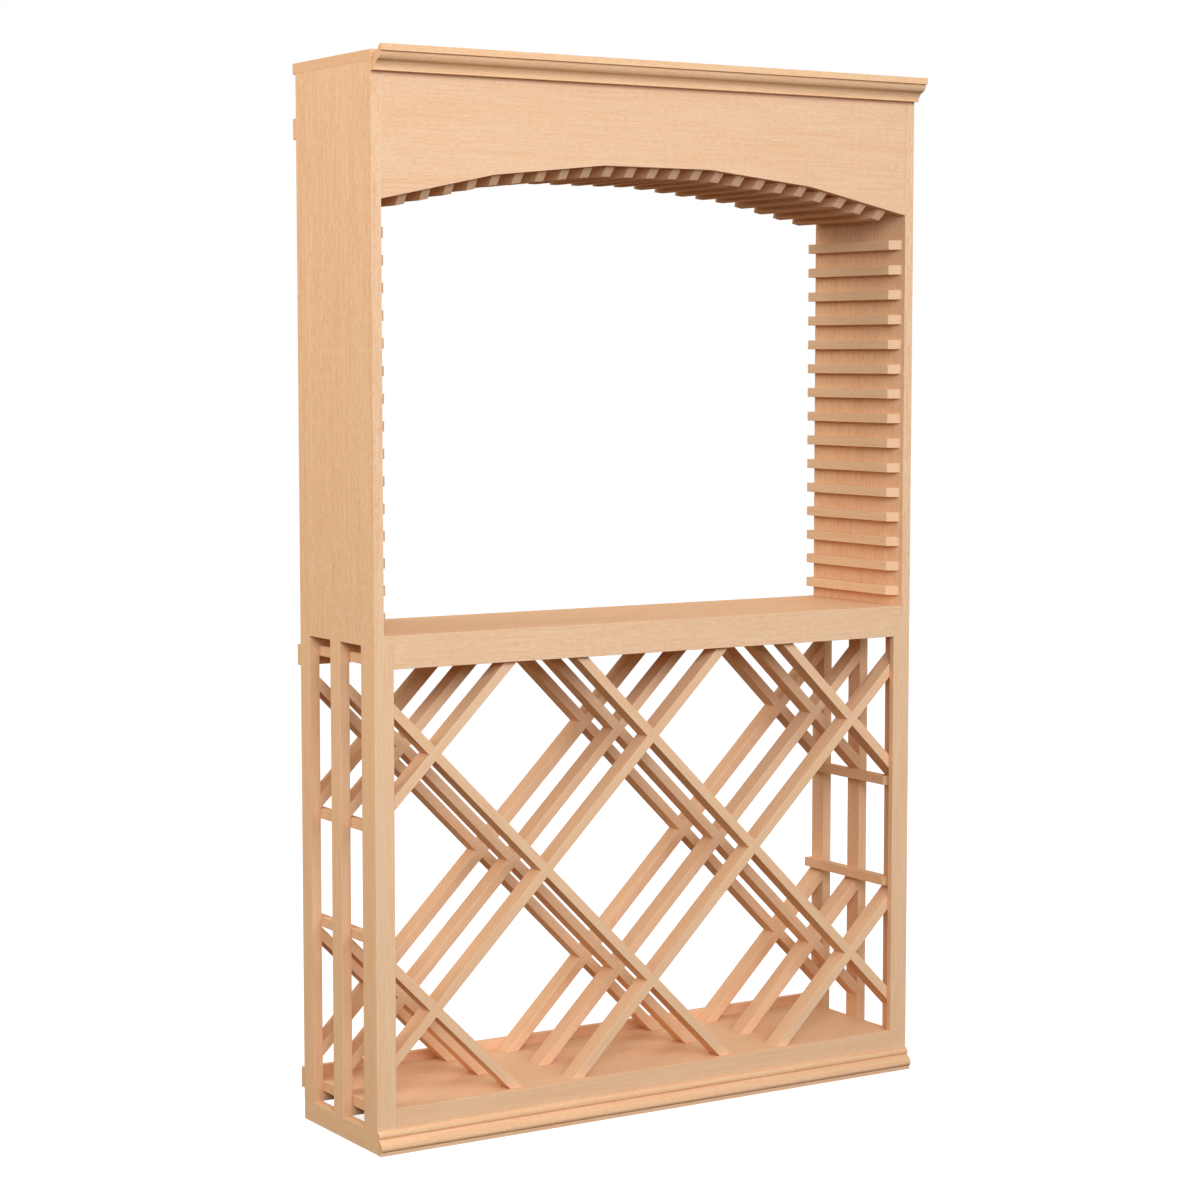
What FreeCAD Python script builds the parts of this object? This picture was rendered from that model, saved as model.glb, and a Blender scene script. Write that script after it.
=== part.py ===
import FreeCAD, Part
import math
import os
import Sketcher

# Driving dimensions: millimetres, and degrees for facet_turn
SIZES = {
    # Overall form
    "width": 1169,
    "side_depth": 289,
    "counter_height": 914,
    "top_height": 1917,
    # Timber sections
    "board_thickness": 19,
    "slat_size": 18,
    "batten_width": 38,
    # Face frame of the lower bay
    "face_thickness": 13,
    "stile_width": 38,
    "apron_height": 59,
    "bottom_rail_height": 78,
    # Rails across the back
    "rear_rail_thickness": 12,
    "top_rail_drop": 78,
    # Faceted arch over the tasting niche
    "valance_end_height": 233,
    "facet_turn": 6,
    # Slats on the niche walls and under the arch
    "slat_pitch": 47.6,
    "slat_setback": 10,
    "wall_slat_start": 20,
    # Diamond lattice, and the side slats above and below its middle
    "lattice_pitch": 458,
    "lattice_drop": 6,
    "side_slat_spread": 108.5,
    # Crown moulding
    "crown_drop": 36.5,
    "crown_rise": 6,
    "crown_projection": 41,
    "crown_lip": 14,
    "crown_lip_height": 1.5,
    "crown_band_height": 11.5,
    "crown_band_step": 5.5,
    "crown_top_width": 6.5,
    # Base moulding
    "base_height": 41,
    "base_projection": 16.5,
    "base_belly_height": 15,
    "base_band_height": 5.5,
    "base_band_projection": 13,
    "base_neck_projection": 12,
    "base_quirk_height": 28,
    "base_quirk_projection": 4.5,
    "base_bead_height": 31.5,
    "base_bead_projection": 7,
    # Screws that hold the rear rails
    "screw_radius": 2,
    "screw_head_radius": 4,
    "screw_head_depth": 3,
    "screw_length": 32,
    "screw_spacing": 18,
}

FACETS = 5

# Lattice bars of each direction, in half pitches from the middle of the lattice
LATTICE_LINES = (-3, -1, 1, 3)

# Arc radius over chord for the rounds of the mouldings
OGEE_RATIO = 0.85
BELLY_RATIO = 0.65
SWEEP_RATIO = 1.1

X_AXIS = FreeCAD.Vector(1, 0, 0)
Y_AXIS = FreeCAD.Vector(0, 1, 0)
Z_AXIS = FreeCAD.Vector(0, 0, 1)

doc = FreeCAD.newDocument("wine_tasting_station")
sheet = doc.addObject("Spreadsheet::Sheet", "Sheet")
for row, (alias, size) in enumerate(SIZES.items(), start=1):
    sheet.set(f"A{row}", alias)
    sheet.set(f"B{row}", str(size))
    sheet.setAlias(f"B{row}", alias)
doc.recompute()

nodes = []


def cell(alias):
    """The expression that reads one driving dimension."""
    return f"Sheet.{alias}"


def value(expression):
    """The present value of an expression over the sheet."""
    return float(sheet.evalExpression(str(expression)))


def bind(thing, **sizes):
    """Tie properties of an object to expressions over the sheet."""
    for name, expression in sizes.items():
        thing.setExpression(name, str(expression))


def place(thing, x, y, z):
    """Tie the position of an object to expressions over the sheet."""
    for axis, expression in zip("xyz", (x, y, z)):
        thing.setExpression(f"Placement.Base.{axis}", str(expression))


def node(thing, label):
    """Name a finished sub-part."""
    thing.Label = label
    nodes.append(thing)
    return thing


# Levels and planes that several pieces share, as expressions
HALF = "(Sheet.width / 2)"
INNER = "(Sheet.width / 2 - Sheet.board_thickness)"
FACE = "((Sheet.crown_projection - Sheet.side_depth - Sheet.rear_rail_thickness) / 2)"
BEHIND_FACE = f"({FACE} + Sheet.face_thickness)"
BACK = f"({FACE} + Sheet.side_depth)"
FRAME_DEPTH = "(Sheet.side_depth - Sheet.face_thickness)"
SHELF_BOTTOM = "(Sheet.batten_width + Sheet.board_thickness)"
SHELF_TOP = "(Sheet.batten_width + 2 * Sheet.board_thickness)"
COUNTER_BOTTOM = "(Sheet.counter_height - Sheet.board_thickness)"
BAY_TOP = "(Sheet.counter_height - 2 * Sheet.board_thickness)"
TOP_BOTTOM = "(Sheet.top_height - Sheet.board_thickness)"
TOP_RAIL_TOP = f"({TOP_BOTTOM} - Sheet.top_rail_drop)"
SPRING = f"({TOP_BOTTOM} - Sheet.valance_end_height)"
ARCH_RADIUS = f"({INNER} / sin({FACETS} * Sheet.facet_turn / 2))"
ARCH_CENTRE = f"({SPRING} - {INNER} / tan({FACETS} * Sheet.facet_turn / 2))"
APOTHEM = f"({ARCH_RADIUS} * cos(Sheet.facet_turn / 2))"
FACET_LENGTH = f"(2 * {ARCH_RADIUS} * sin(Sheet.facet_turn / 2))"
LATTICE_CENTRE = f"(({SHELF_TOP} + {BAY_TOP}) / 2 - Sheet.lattice_drop)"

# Front of each of the three planes that hold posts, cross boards and lattice
PLANE_STEP = f"(({FRAME_DEPTH} - Sheet.batten_width) / 2)"
PLANES = {
    "front": BEHIND_FACE,
    "middle": f"({BEHIND_FACE} + {PLANE_STEP})",
    "back": f"({BEHIND_FACE} + 2 * {PLANE_STEP})",
}
SIDES = {"left": -1, "right": 1}


def block(name, x, y, z, length, width, height):
    """A squared board from its low corner and its size along X, Y and Z."""
    board = doc.addObject("Part::Box", name)
    bind(board, Length=length, Width=width, Height=height)
    place(board, x, y, z)
    return board


def side_start(side, inset, thickness):
    """The low X of a piece that lies a given inset inside the outer face of a side."""
    if side == "left":
        return f"-{HALF} + {inset}"
    return f"{HALF} - {inset} - {thickness}"


def group(name, members):
    """Several separate solids that make one node."""
    bundle = doc.addObject("Part::Compound", name)
    bundle.Links = members
    return bundle


def combine(kind, name, base, tool):
    """A cut or common of two objects."""
    result = doc.addObject(kind, name)
    result.Base = base
    result.Tool = tool
    return result


def origin_plane(body, role):
    """One of the origin planes of a body."""
    return next(item for item in body.Origin.OriginFeatures if item.Role == role)


def fix_point(sketch, edge, end, x, y):
    """Tie one sketch point to a pair of expressions."""
    for kind, axis, expression in (("DistanceX", -2, x), ("DistanceY", -1, y)):
        if value(expression) == 0 and str(expression) == "0":
            sketch.addConstraint(Sketcher.Constraint("PointOnObject", edge, end, axis))
            continue
        index = sketch.addConstraint(Sketcher.Constraint(kind, -1, 1, edge, end, value(expression)))
        sketch.setExpression(f"Constraints[{index}]", expression)


def add_edge(sketch, start, finish):
    """Draw one edge of an outline, straight or round, and return it with its end numbers."""
    low = FreeCAD.Vector(value(start[0]), value(start[1]), 0)
    high = FreeCAD.Vector(value(finish[0]), value(finish[1]), 0)
    if len(finish) == 2:
        return sketch.addGeometry(Part.LineSegment(low, high)), 1, 2
    turn, ratio = finish[2:]
    chord = high - low
    radius = ratio * chord.Length
    lift = math.sqrt(radius ** 2 - (chord.Length / 2) ** 2)
    left = FreeCAD.Vector(-chord.y, chord.x, 0).normalize()
    centre = (low + high) / 2 + left * (lift if turn == "ccw" else -lift)
    first, last = (low, high) if turn == "ccw" else (high, low)
    angles = [math.atan2(point.y - centre.y, point.x - centre.x) for point in (first, last)]
    circle = Part.Circle(centre, Z_AXIS, radius)
    edge = sketch.addGeometry(Part.ArcOfCircle(circle, *angles))
    index = sketch.addConstraint(Sketcher.Constraint("Radius", edge, radius))
    run = f"({finish[0]} - ({start[0]}))"
    rise = f"({finish[1]} - ({start[1]}))"
    sketch.setExpression(f"Constraints[{index}]", f"{ratio} * sqrt({run}^2 + {rise}^2)")
    return (edge, 1, 2) if turn == "ccw" else (edge, 2, 1)


def profile_body(name, role, outline, length):
    """A body padded from a closed outline, whose points are expressions."""
    body = doc.addObject("PartDesign::Body", name)
    sketch = body.newObject("Sketcher::SketchObject", f"{name}_outline")
    sketch.AttachmentSupport = [(origin_plane(body, role), "")]
    sketch.MapMode = "FlatFace"
    edges = [add_edge(sketch, outline[i - 1], point) for i, point in enumerate(outline)]
    for (edge, _, end), (following, start, _) in zip(edges, edges[1:] + edges[:1]):
        sketch.addConstraint(Sketcher.Constraint("Coincident", edge, end, following, start))
    for (edge, _, end), point in zip(edges, outline):
        fix_point(sketch, edge, end, point[0], point[1])
    pad = body.newObject("PartDesign::Pad", f"{name}_pad")
    pad.Profile = sketch
    pad.Reversed = role == "XZ_Plane"
    bind(pad, Length=length)
    return body


def slat(name, length, axes, x, y, z):
    """A square slat whose front end is mitred towards the side it is fixed to."""
    strip = doc.addObject("Part::Wedge", name)
    for low in ("Xmin", "Ymin", "Zmin", "X2min"):
        setattr(strip, low, 0)
    size = cell("slat_size")
    bind(strip, Xmax=size, Ymax=size, Zmax=length, X2max=size, Z2min=size, Z2max=length)
    strip.Placement = FreeCAD.Placement(FreeCAD.Vector(), FreeCAD.Rotation(*axes))
    place(strip, x, y, z)
    return strip


def wall_slat(name, side, start, inset, z):
    """A slat along the inner face of a side, from a front plane to the back."""
    axes = (Z_AXIS, X_AXIS, Y_AXIS) if side == "left" else (-Z_AXIS, -X_AXIS, Y_AXIS)
    x = f"-{HALF} + {inset}" if side == "left" else f"{HALF} - {inset}"
    base = z if side == "left" else f"{z} + Sheet.slat_size"
    return slat(name, f"{BACK} - {start}", axes, x, start, base)


# Screws of the rear rails, each a countersunk head and a shank along Y
def rail_screw(name, x, z):
    rear = f"{BACK} + Sheet.rear_rail_thickness"
    head = doc.addObject("Part::Cone", f"{name}_head")
    bind(head, Radius1=cell("screw_head_radius"), Radius2=cell("screw_radius"))
    bind(head, Height=cell("screw_head_depth"))
    shank = doc.addObject("Part::Cylinder", f"{name}_shank")
    bind(shank, Radius=cell("screw_radius"), Height=cell("screw_length"))
    for piece in (head, shank):
        piece.Placement = FreeCAD.Placement(FreeCAD.Vector(), FreeCAD.Rotation(X_AXIS, 90))
        place(piece, x, rear, z)
    return combine("Part::Fuse", name, head, shank)


RAIL_BOTTOMS = {
    "top": f"({TOP_RAIL_TOP} - Sheet.batten_width)",
    "middle": f"({BAY_TOP} - Sheet.batten_width)",
    "bottom": SHELF_BOTTOM,
}
screws = {}
for level, bottom in RAIL_BOTTOMS.items():
    for side, sign in SIDES.items():
        for row, offset in (("lower", -1), ("upper", 1)):
            x = f"{sign} * ({HALF} - Sheet.board_thickness / 2)"
            z = f"{bottom} + Sheet.batten_width / 2 + {offset} * Sheet.screw_spacing / 2"
            screws[level, side, row] = rail_screw(f"screw_{level}_{side}_{row}", x, z)
rail_screws = node(group("rail_screws", list(screws.values())), "rail_screws")


def drilled(name, board):
    """A board with the holes of the rail screws that reach it."""
    return combine("Part::Cut", name, board, rail_screws)


# Rails across the back
for level, bottom in RAIL_BOTTOMS.items():
    section = (cell("rear_rail_thickness"), cell("batten_width"))
    rail = block(f"{level}_rail_board", f"-{HALF}", BACK, bottom, cell("width"), *section)
    node(drilled(f"{level}_rail", rail), f"{level}_rear_rail")

# Upper side panels and lower side frames
THICK = cell("board_thickness")
for side in SIDES:
    outer = side_start(side, "0", THICK)
    panel_size = (THICK, cell("side_depth"), f"{TOP_BOTTOM} - {COUNTER_BOTTOM}")
    panel = block(f"{side}_panel_board", outer, FACE, COUNTER_BOTTOM, *panel_size)
    node(drilled(f"{side}_panel", panel), f"{side}_upper_panel")
    foot = block(f"{side}_foot", outer, BEHIND_FACE, "0", THICK, FRAME_DEPTH, cell("batten_width"))
    node(foot, f"{side}_side_rail")
    for plane, front in PLANES.items():
        post_size = (THICK, cell("batten_width"), f"{COUNTER_BOTTOM} - Sheet.batten_width")
        post = block(f"{side}_{plane}_board", outer, front, cell("batten_width"), *post_size)
        if plane == "back":
            post = drilled(f"{side}_{plane}_drilled", post)
        node(post, f"{side}_{plane}_post")

# Boards that tie the two sides together
SPAN = f"2 * {INNER}"
for level, base in (("top", BAY_TOP), ("bottom", cell("batten_width"))):
    boards = [
        block(f"{level}_{plane}_tie", f"-{INNER}", front, base, SPAN, cell("batten_width"), THICK)
        for plane, front in PLANES.items()
    ]
    node(group(f"{level}_ties", boards), f"{level}_cross_boards")
shelf = block("shelf", f"-{INNER}", BEHIND_FACE, SHELF_BOTTOM, SPAN, FRAME_DEPTH, THICK)
node(shelf, "bottom_shelf")
counter = block("counter", f"-{INNER}", BEHIND_FACE, COUNTER_BOTTOM, SPAN, FRAME_DEPTH, THICK)
node(counter, "counter_top")
top_depth = "Sheet.side_depth + Sheet.rear_rail_thickness"
node(block("roof", f"-{HALF}", FACE, TOP_BOTTOM, cell("width"), top_depth, THICK), "top_board")

# Face frame of the lower bay, with an apron notched over the stiles
FRAME_INNER = f"({HALF} - Sheet.stile_width)"
for side in SIDES:
    edge = side_start(side, "0", cell("stile_width"))
    stile_size = (cell("stile_width"), cell("face_thickness"), COUNTER_BOTTOM)
    node(block(f"{side}_stile_board", edge, FACE, "0", *stile_size), f"{side}_stile")
rail_size = (f"2 * {FRAME_INNER}", cell("face_thickness"), cell("bottom_rail_height"))
node(block("front_rail", f"-{FRAME_INNER}", FACE, "0", *rail_size), "bottom_rail")
NOTCH = "(Sheet.apron_height - Sheet.board_thickness)"
apron_outline = [
    (f"-{FRAME_INNER}", "0"),
    (FRAME_INNER, "0"),
    (FRAME_INNER, NOTCH),
    (INNER, NOTCH),
    (INNER, cell("apron_height")),
    (f"-{INNER}", cell("apron_height")),
    (f"-{INNER}", NOTCH),
    (f"-{FRAME_INNER}", NOTCH),
]
apron = node(profile_body("apron", "XZ_Plane", apron_outline, cell("face_thickness")), "apron")
place(apron, "0", FACE, "Sheet.counter_height - Sheet.apron_height")

# Crown moulding: lip, hollow, round and band, with a sprung back
CROWN_HEIGHT = "(Sheet.crown_drop + Sheet.crown_rise)"
CROWN_BAND_BOTTOM = f"({CROWN_HEIGHT} - Sheet.crown_band_height)"
CROWN_ROUND = "(Sheet.crown_projection - Sheet.crown_band_step)"
CROWN_BACK = "(Sheet.crown_projection - Sheet.crown_top_width)"
crown_outline = [
    ("0", "0"),
    ("-Sheet.crown_lip", "0"),
    ("-Sheet.crown_lip", cell("crown_lip_height")),
    (
        f"-(Sheet.crown_lip + {CROWN_ROUND}) / 2",
        f"(Sheet.crown_lip_height + {CROWN_BAND_BOTTOM}) / 2",
        "ccw",
        OGEE_RATIO,
    ),
    (f"-{CROWN_ROUND}", CROWN_BAND_BOTTOM, "cw", OGEE_RATIO),
    ("-Sheet.crown_projection", CROWN_BAND_BOTTOM),
    ("-Sheet.crown_projection", CROWN_HEIGHT),
    (f"-{CROWN_BACK}", CROWN_HEIGHT),
    ("0", f"{CROWN_HEIGHT} - {CROWN_BACK}"),
]
crown = node(profile_body("crown", "YZ_Plane", crown_outline, cell("width")), "crown_moulding")
place(crown, f"-{HALF}", FACE, "Sheet.top_height - Sheet.crown_drop")

# Base moulding: plinth band, belly, quirk and bead
NECK_STEP = "(Sheet.base_band_projection - Sheet.base_neck_projection)"
base_outline = [
    ("0", "0"),
    ("-Sheet.base_band_projection", "0"),
    ("-Sheet.base_band_projection", cell("base_band_height")),
    ("-Sheet.base_neck_projection", f"Sheet.base_band_height + {NECK_STEP}"),
    ("-Sheet.base_projection", cell("base_belly_height"), "cw", BELLY_RATIO),
    ("-Sheet.base_quirk_projection", cell("base_quirk_height"), "cw", SWEEP_RATIO),
    ("-Sheet.base_bead_projection", cell("base_bead_height")),
    ("0", cell("base_height"), "cw", BELLY_RATIO),
]
base = node(profile_body("base", "YZ_Plane", base_outline, cell("width")), "base_moulding")
place(base, f"-{HALF}", FACE, "0")


# Faceted arch: the corner points from one side panel to the other, above the spring line
def arch_corners():
    corners = []
    for corner in range(FACETS + 1):
        turn = f"({corner - FACETS / 2} * Sheet.facet_turn)"
        if corner in (0, FACETS):
            x = INNER if corner else f"-{INNER}"
            corners.append((x, "0"))
        else:
            drop = f"{SPRING} - {ARCH_CENTRE}"
            corners.append((f"{ARCH_RADIUS} * sin({turn})", f"{ARCH_RADIUS} * cos({turn}) - ({drop})"))
    return corners


def arch_board(name, top):
    """A board between the side panels with the arch cut into its lower edge."""
    upper_edge = [(INNER, f"{top} - {SPRING}"), (f"-{INNER}", f"{top} - {SPRING}")]
    return profile_body(name, "XZ_Plane", arch_corners() + upper_edge, THICK)


valance = node(arch_board("valance", TOP_BOTTOM), "valance")
place(valance, "0", FACE, SPRING)
rib = node(arch_board("rear_rib", TOP_RAIL_TOP), "rear_arch_rib")
place(rib, "0", f"{BACK} - Sheet.board_thickness", SPRING)

# Slats under the arch, each flat against one facet and clear of the corners
half_path = value(FACET_LENGTH) * FACETS / 2
steps = int((half_path - SIZES["slat_size"]) / SIZES["slat_pitch"])
arch_slats = []
for step in range(-steps, steps + 1):
    facet = round(step * SIZES["slat_pitch"] / value(FACET_LENGTH))
    turn = facet * SIZES["facet_turn"]
    reach = f"(({FACET_LENGTH} - Sheet.slat_size) / 2)"
    offset = f"{step} * Sheet.slat_pitch - {facet} * {FACET_LENGTH}"
    along = f"(max(-{reach}; min({reach}; {offset})) - Sheet.slat_size / 2)"
    tilt = FreeCAD.Rotation(Y_AXIS, turn)
    axes = (tilt.multVec(X_AXIS), tilt.multVec(-Z_AXIS), Y_AXIS)
    angle = f"({facet} * Sheet.facet_turn)"
    x = f"{APOTHEM} * sin({angle}) + {along} * cos({angle})"
    z = f"{ARCH_CENTRE} + {APOTHEM} * cos({angle}) - {along} * sin({angle})"
    front = f"{FACE} + Sheet.slat_setback"
    length = "Sheet.side_depth - Sheet.slat_setback"
    arch_slats.append(slat(f"arch_slat_{step + steps + 1}", length, axes, x, front, z))
node(group("arch_slat_group", arch_slats), "arch_slats")

# Slats on the niche walls
wall_room = value(f"{SPRING} - Sheet.counter_height - Sheet.wall_slat_start - Sheet.slat_size")
wall_count = int(wall_room / SIZES["slat_pitch"]) + 1
for side in SIDES:
    start = f"({FACE} + Sheet.slat_setback)"
    strips = []
    for k in range(wall_count):
        height = f"Sheet.counter_height + Sheet.wall_slat_start + {k} * Sheet.slat_pitch"
        strips.append(wall_slat(f"{side}_wall_slat_{k + 1}", side, start, THICK, height))
    node(group(f"{side}_wall_group", strips), f"{side}_wall_slats")

# Slats along the lower sides: one under the cross boards and two that hold the lattice ends
SIDE_SLATS = {
    "top": f"{BAY_TOP} - Sheet.slat_size",
    "upper": f"{LATTICE_CENTRE} + Sheet.side_slat_spread - Sheet.slat_size",
    "lower": f"{LATTICE_CENTRE} - Sheet.side_slat_spread",
}
side_slats = []
for side in SIDES:
    for level, z in SIDE_SLATS.items():
        strip = wall_slat(f"{side}_{level}_strip", side, BEHIND_FACE, THICK, z)
        side_slats.append(node(strip, f"{side}_{level}_slat"))
side_slat_group = group("side_slat_group", side_slats)


# Diamond lattice: bars at 45 degrees, halved into each other and cut to the frame and side slats
def lattice_bar(name, direction, line, front, depth):
    """A long bar whose centre line crosses the middle of the bay at a given lattice line."""
    size = cell("slat_size")
    length = "(Sheet.width + Sheet.counter_height)"
    sign = 1 if direction == "rising" else -1
    bar = doc.addObject("Part::Box", name)
    bind(bar, Length=length, Width=depth, Height=size)
    bar.Placement = FreeCAD.Placement(FreeCAD.Vector(), FreeCAD.Rotation(Y_AXIS, -45 * sign))
    height = f"{LATTICE_CENTRE} + {line} * Sheet.lattice_pitch / 2"
    x = f"-({length} - {sign} * {size}) / 2 * cos(45)"
    z = f"{height} - ({sign} * {length} + {size}) / 2 * cos(45)"
    place(bar, x, front, z)
    return bar


HALF_DEPTH = "(Sheet.batten_width / 2)"
for plane, front in PLANES.items():
    bay_size = (SPAN, cell("batten_width"), f"{BAY_TOP} - {SHELF_TOP}")
    bay_box = block(f"{plane}_bay_box", f"-{INNER}", front, SHELF_TOP, *bay_size)
    bay = combine("Part::Cut", f"{plane}_bay", bay_box, side_slat_group)
    halves = {"rising": front, "falling": f"{front} + {HALF_DEPTH}"}
    tools = {}
    for direction, start in halves.items():
        bars = [
            lattice_bar(f"{plane}_{direction}_half_{n}", direction, line, start, HALF_DEPTH)
            for n, line in enumerate(LATTICE_LINES, start=1)
        ]
        tools[direction] = group(f"{plane}_{direction}_halves", bars)
    for direction, other in (("rising", "falling"), ("falling", "rising")):
        for n, line in enumerate(LATTICE_LINES, start=1):
            name = f"{plane}_{direction}_{n}"
            bar = lattice_bar(f"{name}_bar", direction, line, front, cell("batten_width"))
            fitted = combine("Part::Common", f"{name}_fitted", bar, bay)
            member = combine("Part::Cut", f"{name}_member", fitted, tools[other])
            node(member, f"{plane}_lattice_{direction}_{n}")

doc.recompute()

# Every object must have rebuilt, and every sub-part must be a sound shape
failed = [item.Name for item in doc.Objects if "Invalid" in item.State or "Error" in item.State]
if failed:
    raise RuntimeError(f"objects that failed to rebuild: {failed}")
for item in nodes:
    if item.Shape.isNull() or not item.Shape.isValid():
        raise RuntimeError(f"sub-part without a sound shape: {item.Label}")

os.makedirs("parts", exist_ok=True)
for item in nodes:
    item.Shape.exportStep(f"parts/{item.Label}.step")
print(f"{len(nodes)} sub-parts written")
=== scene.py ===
import math

import bpy
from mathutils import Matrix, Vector

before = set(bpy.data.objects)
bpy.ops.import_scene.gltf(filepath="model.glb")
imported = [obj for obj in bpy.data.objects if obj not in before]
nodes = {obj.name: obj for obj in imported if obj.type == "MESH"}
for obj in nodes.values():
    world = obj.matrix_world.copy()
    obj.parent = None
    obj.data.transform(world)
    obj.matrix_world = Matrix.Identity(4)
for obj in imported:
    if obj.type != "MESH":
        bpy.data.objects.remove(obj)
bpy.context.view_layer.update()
scene = bpy.context.scene
scene.view_settings.view_transform = "Standard"


def colour(red, green, blue):
    return (red, green, blue, 1.0)


# Directions in which the grain can run
DIAGONAL = math.sqrt(0.5)
GRAIN = {
    "x": Vector((1, 0, 0)),
    "y": Vector((0, 1, 0)),
    "z": Vector((0, 0, 1)),
    "rising": Vector((DIAGONAL, 0, DIAGONAL)),
    "falling": Vector((DIAGONAL, 0, -DIAGONAL)),
}

# Tones of the pale sanded wood
LIGHT = colour(0.865, 0.548, 0.322)
MIDDLE = colour(0.810, 0.435, 0.226)
DEEP = colour(0.60, 0.310, 0.150)
END_GRAIN = colour(0.70, 0.390, 0.205)
# Paler edge colour: sanding wear and a painted edge highlight
WORN_AND_HIGHLIGHT = colour(0.92, 0.630, 0.405)
# Tint for painted warm bounce light on the mouldings
BOUNCE_TINT = colour(1.03, 0.985, 0.90)

# Noise features per metre, along and across the fibres
WANDER = (1.3, 5.0)
BANDS = (1.6, 26.0)
STREAKS = (6.0, 300.0)
FLECKS = (95.0, 380.0)
FIBRES = (14.0, 900.0)
PORES = (45.0, 1300.0)
END_DOTS = (900.0, 900.0)
# Patches along the paler edges, which are wear and painted highlight
EDGE_PATCHES = (9.0, 40.0)

# Range that holds nearly all values of a noise, and the part of it that makes pores
NOISE_RANGE = (0.3, 0.7)
PORE_RANGE = (0.62, 0.70)

# Growth rings: the pith beside the board, rings per metre, and the slow and quick flank of a ring
PITH_OFFSET = 0.21
RING_FLATTENING = 0.55
RING_RATE = 95.0
RING_WAVE = 9.0
EARLY_WOOD = (0.0, 0.8)
LATE_WOOD = (1.0, 0.86)

# How far each layer moves the wood from LIGHT to MIDDLE
RING_DEPTH = 0.10
STREAK_DEPTH = 0.42
FLECK_DEPTH = 0.275
BAND_DEPTH = 0.20
FIBRE_DEPTH = (-0.12, 0.24)
TONE_DEPTH = 0.16
MEAN_DEPTH = 0.405
DEPTH_RANGE = (-0.025, 0.875)
PORE_SHARE = 0.34

# End grain, by the cosine between face and fibres
CUT_RANGE = (0.62, 0.97)
END_SHARE = 0.45
END_DOT_RANGE = (0.35, 0.7)
END_DOT_DEPTH = 0.35
END_RING_DEPTH = 0.45

# Edges paler from sanding wear and a painted highlight, by the cosine between the true and the rounded
# normal
HIGHLIGHT_EDGE_RADIUS = 0.0016
HIGHLIGHT_EDGE_RANGE = (0.995, 0.86)
PATCH_RANGE = (0.35, 0.65)
PATCH_SHARE = (0.15, 0.6)

# Relief, roughness and sheen of the bare surface
STREAK_RELIEF = 0.35
FIBRE_RELIEF = 0.5
PORE_RELIEF = 0.35
RELIEF_STRENGTH = 0.35
RELIEF_HEIGHT = 0.0004
ROUGH_RANGE = (0.6, 1.4)
ROUGHNESS = (0.82, 0.94)
SHEEN = 0.03

# Every seed cuts its piece from another place of the wood
SEED_SHIFT = (2.17, 3.31, 1.73)

# Slats that share a sub-part are told apart by their place along one axis
SLAT_PITCH = 0.0476
WALL_SLAT_MIDDLE = 0.943
SLAT_STEP = 1.37
SLAT_SEEDS = 7.0

# Grain of the wide panels and of the narrow battens, as against other boards, and the painted light that
# lifts some battens paler
PANEL_FIGURE = 1.7
BATTEN_MOTTLE = 0.35
PAINTED_LIFT = {"_wall_slats": 1.5, "_stile": 0.6, "_post": 0.6}

# Zinc of the screws
ZINC_LIGHT = colour(0.60, 0.60, 0.57)
ZINC_DARK = colour(0.44, 0.45, 0.44)
ZINC_CLOUDS = 420.0
ZINC_GRAIN = 1500.0
ZINC_ROUGHNESS = (0.28, 0.46)


class Graph:
    """A short way to write a node tree."""

    def __init__(self, tree):
        self.tree = tree
        tree.nodes.clear()

    def add(self, kind, inputs=None, **settings):
        item = self.tree.nodes.new(kind)
        for key, setting in settings.items():
            setattr(item, key, setting)
        for key, source in (inputs or {}).items():
            if isinstance(source, bpy.types.NodeSocket):
                self.tree.links.new(source, item.inputs[key])
            else:
                item.inputs[key].default_value = source
        return item

    def math(self, operation, first, second=0.0, third=0.0):
        sources = {0: first, 1: second, 2: third}
        return self.add("ShaderNodeMath", sources, operation=operation).outputs[0]

    def vector(self, operation, first, second=(0.0, 0.0, 0.0)):
        item = self.add("ShaderNodeVectorMath", {0: first, 1: second}, operation=operation)
        return item.outputs["Value" if operation in ("DOT_PRODUCT", "LENGTH") else 0]

    def joined(self, *parts):
        return self.add("ShaderNodeCombineXYZ", dict(enumerate(parts))).outputs[0]

    def attribute(self, name):
        settings = {"attribute_type": "OBJECT", "attribute_name": name}
        return self.add("ShaderNodeAttribute", **settings).outputs["Fac"]

    def noise(self, vector, scale=1.0, detail=2.0, roughness=0.5):
        inputs = {"Vector": vector, "Scale": scale, "Detail": detail, "Roughness": roughness}
        return self.add("ShaderNodeTexNoise", inputs).outputs["Fac"]

    def span(self, source, low, high, to_low=0.0, to_high=1.0, smooth=False):
        inputs = {"Value": source, "From Min": low, "From Max": high, "To Min": to_low, "To Max": to_high}
        kind = "SMOOTHSTEP" if smooth else "LINEAR"
        return self.add("ShaderNodeMapRange", inputs, interpolation_type=kind).outputs["Result"]

    def mix(self, factor, first, second, blend="MIX"):
        inputs = {0: factor, 6: first, 7: second}
        return self.add("ShaderNodeMix", inputs, data_type="RGBA", blend_type=blend).outputs[2]

    def seen_directly(self):
        """One for rays from the camera, off a mirror or through glass, and zero for the rest."""
        rays = self.add("ShaderNodeLightPath").outputs
        seen = self.math("MAXIMUM", rays["Is Camera Ray"], rays["Is Glossy Ray"])
        return self.math("MAXIMUM", seen, rays["Is Transmission Ray"])


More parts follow.
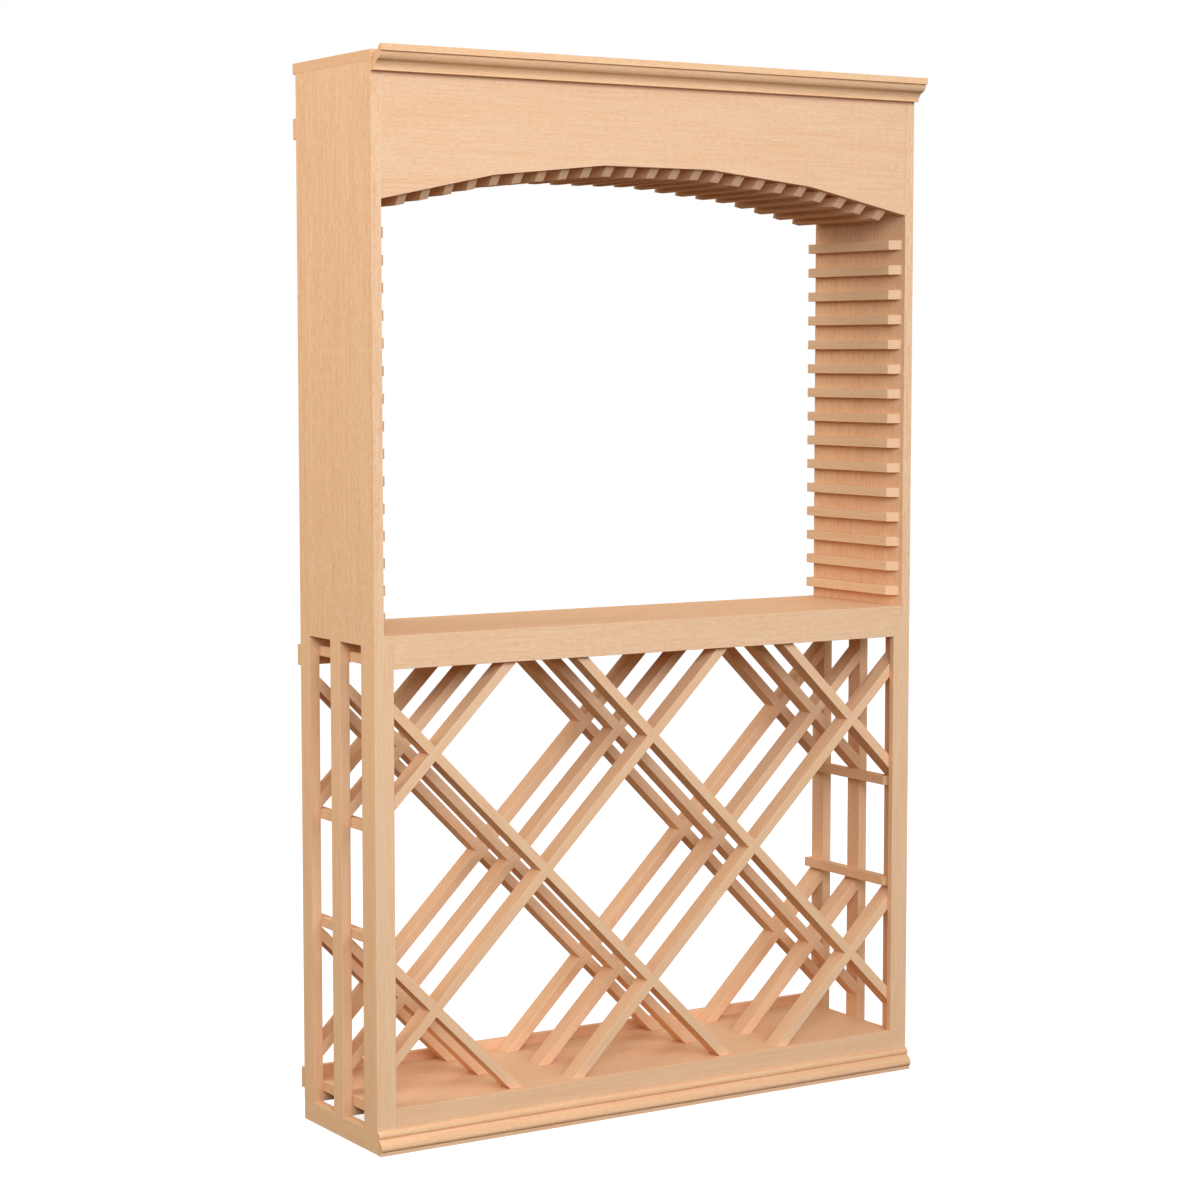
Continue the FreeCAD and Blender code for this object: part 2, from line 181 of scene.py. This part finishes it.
def wood_material(name, axis, repeat=None):
    """Solid wood whose fibres run along an axis; repeat separates the slats of one sub-part."""
    material = bpy.data.materials.new(name)
    material.use_nodes = True
    g = Graph(material.node_tree)
    place = g.add("ShaderNodeTexCoord").outputs["Object"]
    seed = g.attribute("seed")
    tone = g.attribute("tone")
    if repeat is not None:
        line, middle = repeat
        distance = g.math("SUBTRACT", g.add("ShaderNodeSeparateXYZ", {0: place}).outputs[line], middle)
        index = g.math("ROUND", g.math("DIVIDE", distance, SLAT_PITCH))
        own = g.math("MULTIPLY_ADD", index, SLAT_STEP, seed)
        draw = g.add("ShaderNodeTexWhiteNoise", {"W": own}, noise_dimensions="1D").outputs["Value"]
        seed = g.math("MULTIPLY_ADD", draw, SLAT_SEEDS, seed)
        tone = g.math("ADD", tone, g.span(draw, 0.0, 1.0, -0.5, 0.5))
    shift = g.vector("MULTIPLY", g.joined(seed, seed, seed), SEED_SHIFT)
    place = g.vector("ADD", place, shift)

    along = GRAIN[axis]
    across = GRAIN["x"] if axis == "y" else GRAIN["y"]
    through = along.cross(across)
    lengthways, sideways, inward = (
        g.vector("DOT_PRODUCT", place, tuple(direction)) for direction in (along, across, through)
    )

    def stretched(rates):
        """The place with its length and its section scaled to a layer's features."""
        slow, fast = rates
        section = [g.math("MULTIPLY", distance, fast) for distance in (sideways, inward)]
        return g.joined(g.math("MULTIPLY", lengthways, slow), *section)

    # Growth rings round a pith beside the board, waved along their length
    wander = g.noise(stretched(WANDER), detail=3.0)
    from_pith = g.joined(
        g.math("ADD", sideways, PITH_OFFSET), g.math("MULTIPLY", inward, RING_FLATTENING)
    )
    turns = g.math("MULTIPLY", g.vector("LENGTH", from_pith), RING_RATE)
    ring = g.math("FRACT", g.math("MULTIPLY_ADD", wander, RING_WAVE, turns))
    early = g.span(ring, *EARLY_WOOD, smooth=True)
    late = g.span(ring, *LATE_WOOD, smooth=True)
    rings = g.math("MULTIPLY", early, late)

    # Layers from broad bands down to pores
    bands = g.noise(stretched(BANDS))
    streaks = g.noise(stretched(STREAKS), roughness=0.6)
    flecks = g.noise(stretched(FLECKS), detail=1.0, roughness=0.6)
    fibres = g.noise(stretched(FIBRES), roughness=0.6)
    pores = g.span(g.noise(stretched(PORES), detail=1.0), *PORE_RANGE, smooth=True)

    depth = g.math("MULTIPLY", rings, RING_DEPTH)
    depth = g.math("MULTIPLY_ADD", g.span(streaks, *NOISE_RANGE), STREAK_DEPTH, depth)
    mottling = g.span(flecks, *NOISE_RANGE, -FLECK_DEPTH, FLECK_DEPTH)
    depth = g.math("MULTIPLY_ADD", mottling, g.attribute("mottle"), depth)
    depth = g.math("MULTIPLY_ADD", g.span(bands, *NOISE_RANGE), BAND_DEPTH, depth)
    depth = g.math("ADD", g.span(fibres, *NOISE_RANGE, *FIBRE_DEPTH), depth)
    depth = g.math("MULTIPLY_ADD", tone, TONE_DEPTH, depth)
    contrast = g.math("SUBTRACT", depth, MEAN_DEPTH)
    depth = g.math("MULTIPLY_ADD", contrast, g.attribute("figure"), MEAN_DEPTH)
    base = g.mix(g.span(depth, *DEPTH_RANGE), LIGHT, MIDDLE)
    # Painted warm bounce light: the mouldings' colour is tinted warmer
    base = g.mix(g.attribute("warmth"), base, BOUNCE_TINT, "MULTIPLY")
    base = g.mix(g.math("MULTIPLY", pores, PORE_SHARE), base, DEEP)

    # End grain where a face cuts across the fibres
    normal = g.add("ShaderNodeNewGeometry").outputs["Normal"]
    facing = g.math("ABSOLUTE", g.vector("DOT_PRODUCT", normal, tuple(along)))
    cut = g.span(facing, *CUT_RANGE, smooth=True)
    dots = g.span(g.noise(stretched(END_DOTS), detail=1.0), *END_DOT_RANGE)
    end_depth = g.math("MULTIPLY", rings, END_RING_DEPTH)
    end_depth = g.math("MULTIPLY_ADD", dots, END_DOT_DEPTH, end_depth)
    end = g.mix(end_depth, MIDDLE, END_GRAIN)
    base = g.mix(g.math("MULTIPLY", cut, END_SHARE), base, end)

    # Edges paler from sanding wear and a painted highlight
    rounded = g.add("ShaderNodeBevel", {"Radius": HIGHLIGHT_EDGE_RADIUS}, samples=4).outputs["Normal"]
    edge = g.span(g.vector("DOT_PRODUCT", rounded, normal), *HIGHLIGHT_EDGE_RANGE)
    patches = g.span(g.noise(stretched(EDGE_PATCHES)), *PATCH_RANGE, *PATCH_SHARE)
    base = g.mix(g.math("MULTIPLY", edge, patches), base, WORN_AND_HIGHLIGHT)

    # Fine relief and a matt surface
    relief = g.math("MULTIPLY", fibres, FIBRE_RELIEF)
    relief = g.math("MULTIPLY_ADD", streaks, STREAK_RELIEF, relief)
    relief = g.math("SUBTRACT", relief, g.math("MULTIPLY", pores, PORE_RELIEF))
    bump_inputs = {"Height": relief, "Strength": RELIEF_STRENGTH, "Distance": RELIEF_HEIGHT}
    surface = {
        "Base Color": base,
        "Roughness": g.span(g.math("ADD", fibres, streaks), *ROUGH_RANGE, *ROUGHNESS),
        "Normal": g.add("ShaderNodeBump", bump_inputs).outputs[0],
        "Specular IOR Level": SHEEN,
    }
    shader = g.add("ShaderNodeBsdfPrincipled", surface)
    g.add("ShaderNodeOutputMaterial", {"Surface": shader.outputs[0]})
    return material


def steel_material():
    """Zinc-plated screw heads with a clouded surface."""
    material = bpy.data.materials.new("zinc_plated_steel")
    material.use_nodes = True
    g = Graph(material.node_tree)
    place = g.add("ShaderNodeTexCoord").outputs["Object"]
    cloud = g.span(g.noise(place, ZINC_CLOUDS, 3.0), *NOISE_RANGE)
    surface = {
        "Base Color": g.mix(cloud, ZINC_LIGHT, ZINC_DARK),
        "Roughness": g.span(g.noise(place, ZINC_GRAIN), *NOISE_RANGE, *ZINC_ROUGHNESS),
        "Metallic": 1.0,
    }
    shader = g.add("ShaderNodeBsdfPrincipled", surface)
    g.add("ShaderNodeOutputMaterial", {"Surface": shader.outputs[0]})
    return material


def grain_of(name):
    """The grain direction of a sub-part, by the way its timber lies."""
    if "rising" in name:
        return "rising"
    if "falling" in name:
        return "falling"
    if "slat" in name or name.endswith("side_rail"):
        return "y"
    if name.endswith(("_post", "_stile", "_panel")):
        return "z"
    return "x"


def figure_of(name):
    """How strongly the grain shows: most on the wide upright panels."""
    return PANEL_FIGURE if name.endswith("_panel") else 1.0


def mottle_of(name):
    """How much of the grain is short flecks: wide boards show them, narrow battens run straight."""
    narrow = any(word in name for word in ("lattice", "slat", "post", "stile", "rail"))
    return BATTEN_MOTTLE if narrow else 1.0


def painted_lift_of(name):
    """How much paler a piece is painted, to stand in for light its faces lack."""
    return next((shift for ending, shift in PAINTED_LIFT.items() if name.endswith(ending)), 0.0)


# Every piece has its own seed and tone; the mouldings get a warmer tint that is painted warm bounce
# light, and some battens a paler tone that is painted light
woods = {axis: wood_material(f"wood_{axis}", axis) for axis in GRAIN}
wall_slat_wood = wood_material("wood_wall_slats", "y", repeat=(2, WALL_SLAT_MIDDLE))
special = {
    "left_wall_slats": wall_slat_wood,
    "right_wall_slats": wall_slat_wood,
    "arch_slats": wood_material("wood_arch_slats", "y", repeat=(0, 0.0)),
    "rail_screws": steel_material(),
}
# Share of the painted warm bounce tint on each moulding
PAINTED_BOUNCE_SHARE = {"crown_moulding": 1.0, "base_moulding": 0.3}
GOLDEN = 0.61803
for order, name in enumerate(sorted(nodes)):
    piece = nodes[name]
    piece["seed"] = round((order * GOLDEN) % 1.0 * 10.0, 4)
    # A paler tone is painted on some battens in place of light
    piece["tone"] = round((order * GOLDEN * GOLDEN) % 1.0 - 0.5, 4) - painted_lift_of(name)
    piece["figure"] = figure_of(name)
    piece["mottle"] = mottle_of(name)
    piece["warmth"] = PAINTED_BOUNCE_SHARE.get(name, 0.0)
    piece.data.materials.clear()
    piece.data.materials.append(special.get(name) or woods[grain_of(name)])

# Arrises eased by sanding; the rail and boards that meet edge to edge behind the counter stay sharp
EASE = 0.0008
EASED_ANGLE = math.radians(25)
WELD_DISTANCE = 0.00001
SHARP = ("rail_screws", "middle_rear_rail", "top_cross_boards")
for name, piece in nodes.items():
    if name in SHARP:
        continue
    weld = piece.modifiers.new("weld", "WELD")
    weld.merge_threshold = WELD_DISTANCE
    ease = piece.modifiers.new("ease", "BEVEL")
    ease.width = EASE
    ease.segments = 2
    ease.limit_method = "ANGLE"
    ease.angle_limit = EASED_ANGLE
    ease.harden_normals = True

# Floor: white to the camera apart from the shadow, and a duller bounce for the object
FLOOR_SIZE = 60.0
FLOOR_BOUNCE = colour(0.075, 0.066, 0.050)
FLOOR_SHOWN = colour(0.40, 0.414, 0.51)
FLOOR_GLOW = 0.82
WHITE = colour(1.0, 1.0, 1.0)
bpy.ops.mesh.primitive_plane_add(size=FLOOR_SIZE, location=(0, 0, 0))
floor = bpy.context.object
floor.name = "floor"
paper = bpy.data.materials.new("floor_paper")
paper.use_nodes = True
g = Graph(paper.node_tree)
bounce = g.add("ShaderNodeBsdfDiffuse", {"Color": FLOOR_BOUNCE})
shown = g.add("ShaderNodeBsdfDiffuse", {"Color": FLOOR_SHOWN})
glow = g.add("ShaderNodeEmission", {"Color": WHITE, "Strength": FLOOR_GLOW})
pale = g.add("ShaderNodeAddShader", {0: shown.outputs[0], 1: glow.outputs[0]})
both = g.add("ShaderNodeMixShader", {0: g.seen_directly(), 1: bounce.outputs[0], 2: pale.outputs[0]})
g.add("ShaderNodeOutputMaterial", {"Surface": both.outputs[0]})
floor.data.materials.append(paper)

# World: white to the camera, warm soft light for the object
SOFT_TINT = colour(1.0, 0.965, 0.78)
SOFT_STRENGTH = 0.53
world = bpy.data.worlds.new("studio")
scene.world = world
world.use_nodes = True
g = Graph(world.node_tree)
soft = g.add("ShaderNodeBackground", {"Color": SOFT_TINT, "Strength": SOFT_STRENGTH})
white = g.add("ShaderNodeBackground", {"Color": WHITE, "Strength": 1.0})
both = g.add("ShaderNodeMixShader", {0: g.seen_directly(), 1: soft.outputs[0], 2: white.outputs[0]})
g.add("ShaderNodeOutputWorld", {"Surface": both.outputs[0]})


def turned_to(direction):
    """The turn that points a lamp or camera along a direction."""
    return direction.to_track_quat("-Z", "Y").to_euler()


# Square soft boxes: name, place, target, size, tint and power
LAMPS = (
    ("key", (-2.7, -5.7, 3.4), (0.0, 0.0, 1.4), 3.0, (0.79, 0.87, 1.0), 279.0),
    ("side_fill", (-3.9, 0.5, 3.0), (-0.58, 0.0, 1.5), 2.2, (0.93, 0.96, 1.0), 79.0),
    ("front_fill", (0.4, -4.2, 2.9), (0.0, 0.0, 1.6), 2.5, (0.54, 0.72, 1.0), 106.0),
    ("back_fill", (2.6, 3.6, 2.8), (0.0, 0.0, 1.1), 2.5, (0.96, 0.97, 1.0), 52.0),
)
for name, place, target, size, tint, power in LAMPS:
    lamp = bpy.data.lights.new(name, "AREA")
    lamp.shape = "SQUARE"
    lamp.size = size
    lamp.color = tint
    lamp.energy = power
    holder = bpy.data.objects.new(name, lamp)
    holder.location = place
    holder.rotation_euler = turned_to(Vector(target) - Vector(place))
    scene.collection.objects.link(holder)

# Camera at the viewing angle of the photograph
YAW = 0.5583
PITCH = 0.0864
SENSOR_WIDTH = 36.0
FOCAL_LENGTH = 85.25
FAR_CLIP = 200.0
VIEWPOINT = (-2.83995, -4.4771, 1.40099)
lens = bpy.data.cameras.new("camera")
lens.sensor_width = SENSOR_WIDTH
lens.lens = FOCAL_LENGTH
lens.clip_end = FAR_CLIP
camera = bpy.data.objects.new("camera", lens)
camera.location = VIEWPOINT
level = math.cos(PITCH)
ahead = Vector((math.sin(YAW) * level, math.cos(YAW) * level, -math.sin(PITCH)))
camera.rotation_euler = turned_to(ahead)
scene.collection.objects.link(camera)
scene.camera = camera
